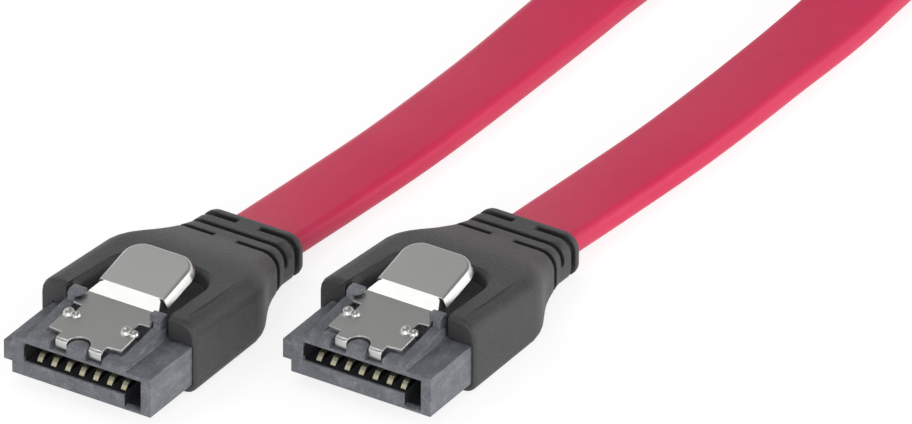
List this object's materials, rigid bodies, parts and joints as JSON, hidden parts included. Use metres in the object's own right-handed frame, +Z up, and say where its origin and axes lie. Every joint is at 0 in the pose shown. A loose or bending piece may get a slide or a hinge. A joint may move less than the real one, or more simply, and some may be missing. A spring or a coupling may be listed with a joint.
{
  "type": "sata data cable",
  "caption": "Flat red serial data ribbon cable with straight latching plugs: keyed slot with gold contacts, sprung steel latch with thumb pad, ribbed strain relief.",
  "frame": {"origin": "middle of the flat underside of plug A's overmold, on the floor that both plugs and the ribbon lie on", "axes": "+X to the right across the plugs, +Y from the mating faces toward the cable, +Z up"},
  "size_m": [0.054, 0.1778, 0.0074],
  "materials": {
    "insulator": "slate grey moulded insulator, satin with fine mottling, light edges",
    "overmold": "charcoal soft plastic, fine spark grain",
    "latch_steel": "matte rolled spring steel, bright at the folds",
    "contact_plating": "bright gold plating",
    "drain_wire": "tinned bare wire",
    "signal_core": "natural white wire insulation",
    "cable_jacket": "satin red flexible jacket"
  },
  "bodies": {
    "cable_and_plugs": {"plug_a_housing": "insulator", "plug_a_contact_1": "contact_plating", "plug_a_contact_2": "contact_plating", "plug_a_contact_3": "contact_plating", "plug_a_contact_4": "contact_plating", "plug_a_contact_5": "contact_plating", "plug_a_contact_6": "contact_plating", "plug_a_contact_7": "contact_plating", "plug_a_overmold": "overmold", "plug_a_wire_1": "drain_wire", "plug_a_wire_2": "signal_core", "plug_a_wire_3": "signal_core", "plug_a_wire_4": "drain_wire", "plug_a_wire_5": "signal_core", "plug_a_wire_6": "signal_core", "plug_a_wire_7": "drain_wire", "plug_b_housing": "insulator", "plug_b_contact_1": "contact_plating", "plug_b_contact_2": "contact_plating", "plug_b_contact_3": "contact_plating", "plug_b_contact_4": "contact_plating", "plug_b_contact_5": "contact_plating", "plug_b_contact_6": "contact_plating", "plug_b_contact_7": "contact_plating", "plug_b_overmold": "overmold", "plug_b_wire_1": "drain_wire", "plug_b_wire_2": "signal_core", "plug_b_wire_3": "signal_core", "plug_b_wire_4": "drain_wire", "plug_b_wire_5": "signal_core", "plug_b_wire_6": "signal_core", "plug_b_wire_7": "drain_wire", "cable": "cable_jacket"},
    "plug_a_latch": {"plug_a_latch": "latch_steel"},
    "plug_b_latch": {"plug_b_latch": "latch_steel"}
  },
  "joints": [
    {"name": "plug_a_latch_press", "type": "hinge", "parent": "cable_and_plugs", "child": "plug_a_latch", "pos_m": [0, -0.00978, 0.00505], "axis": [-1, 0, 0], "range_deg": [0, 6], "stiffness_Nm_per_rad": 0.4, "springref_deg": -2.86},
    {"name": "plug_b_latch_press", "type": "hinge", "parent": "cable_and_plugs", "child": "plug_b_latch", "pos_m": [0.01783, 0.00184, 0.00505], "axis": [-1, 0, 0], "range_deg": [0, 6], "stiffness_Nm_per_rad": 0.4, "springref_deg": -2.86}
  ]
}
